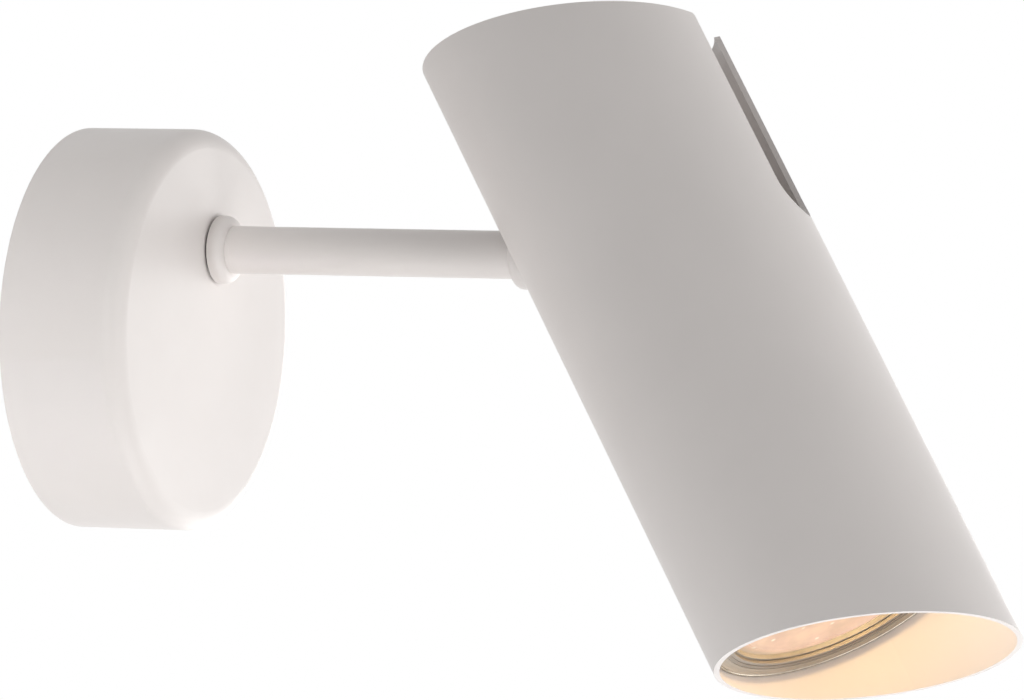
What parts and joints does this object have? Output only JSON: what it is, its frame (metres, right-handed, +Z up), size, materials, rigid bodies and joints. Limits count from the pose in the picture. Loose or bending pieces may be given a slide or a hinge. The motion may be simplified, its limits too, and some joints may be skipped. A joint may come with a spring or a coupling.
{
  "type": "pivoting spotlight wall light",
  "caption": "Wall spotlight: round canopy, slim swivelling arm and a slotted tube head with oblique ends that tilts about a screw inside it",
  "frame": {"origin": "centre of the cable entry in the wall plane, at the middle of the canopy's back", "axes": "+Z up, -Y straight out from the wall, +X to the right as seen from in front"},
  "size_m": [0.086, 0.2186, 0.1424],
  "materials": {
    "lacquer": "matte white powder coat",
    "zinc_plate": "zinc plated sheet",
    "steel": "plated, turned or drawn",
    "spring_wire": "dark oiled spring wire",
    "brass": "turned",
    "rubber": "moulded",
    "black_nylon": "moulded nylon",
    "white_plastic": "moulded",
    "lead_sheath": "silicone insulation",
    "porcelain": "unglazed steatite",
    "lamp_shell": "moulded lamp body",
    "lamp_lens": "frosted, lit warm white",
    "ring_aluminium": "satin, pressed in steps"
  },
  "bodies": {
    "base": {"canopy": "lacquer", "stop_stud": "steel", "wall_plate": "zinc_plate", "canopy_screw": "steel", "cable_grommet": "rubber", "terminal_block": "white_plastic", "terminal_sleeves": "brass", "terminal_screws": "brass", "terminal_fixing_screws": "steel", "terminal_leads": "lead_sheath", "earth_screw": "brass", "earth_washer": "brass", "arm_bush": "black_nylon", "thrust_washer": "black_nylon"},
    "arm": {"swivel_spring": "steel", "stop_washer": "steel", "arm_nut": "brass", "arm_end_sleeve": "black_nylon", "arm_tube": "lacquer", "arm_collar": "lacquer", "knuckle": "lacquer", "knuckle_grub_screw": "steel", "arm_leads": "lead_sheath"},
    "head": {"head_tube": "lacquer", "pivot_bracket": "zinc_plate", "friction_washers": "black_nylon", "pivot_screw": "steel", "pivot_spring_washer": "steel", "pivot_nut": "steel", "bracket_screws": "steel", "carrier_plate": "zinc_plate", "tube_lugs": "zinc_plate", "carrier_screws": "steel", "lead_grommet": "rubber", "lampholder_body": "porcelain", "lampholder_cover": "porcelain", "lampholder_contacts": "brass", "lampholder_screws": "steel", "lamp_leads": "lead_sheath", "lamp_body": "lamp_shell", "lamp_lens": "lamp_lens", "lamp_base": "lamp_shell", "lamp_pins": "steel", "front_ring": "ring_aluminium", "snap_ring": "spring_wire"}
  },
  "joints": [
    {"name": "arm_swivel", "type": "hinge", "parent": "base", "child": "arm", "pos_m": [0, -0.028, 0.018], "axis": [0, 1, 0], "range_deg": [-160, 160]},
    {"name": "head_tilt", "type": "hinge", "parent": "arm", "child": "head", "pos_m": [0, -0.133, 0.018], "axis": [-1, 0, 0], "range_deg": [-33, 147]}
  ]
}
